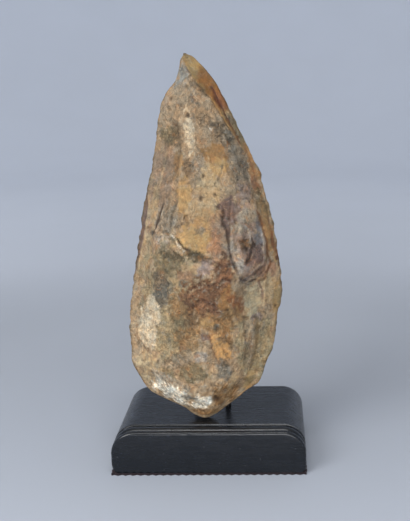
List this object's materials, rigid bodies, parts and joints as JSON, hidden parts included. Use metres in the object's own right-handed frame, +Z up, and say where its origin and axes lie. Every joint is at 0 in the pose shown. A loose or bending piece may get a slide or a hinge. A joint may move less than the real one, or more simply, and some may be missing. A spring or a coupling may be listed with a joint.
{
  "type": "stone hand axe on a stand",
  "caption": "Teardrop-shaped knapped stone hand axe, pointed tip up, leaning on a bent rod prop on a black wooden display plinth with a felt pad.",
  "frame": {"origin": "middle of the felt's underside, at the bottom centre of the whole part", "axes": "+Z up to the axe's tip; the displayed face looks towards -Y; +X to the right as seen from the front"},
  "size_m": [0.1012, 0.0612, 0.2103],
  "materials": {
    "flint": "patinated flint, matt cortex over the lower front, satin honey-coloured margins",
    "black_lacquer": "satin black lacquer, worn at the edges",
    "black_steel": "satin black",
    "maroon_felt": "felt with a pinked edge"
  },
  "bodies": {
    "root": {"hand_axe": "flint", "plinth": "black_lacquer", "rear_prop": "black_steel", "felt_pad": "maroon_felt"}
  },
  "joints": []
}
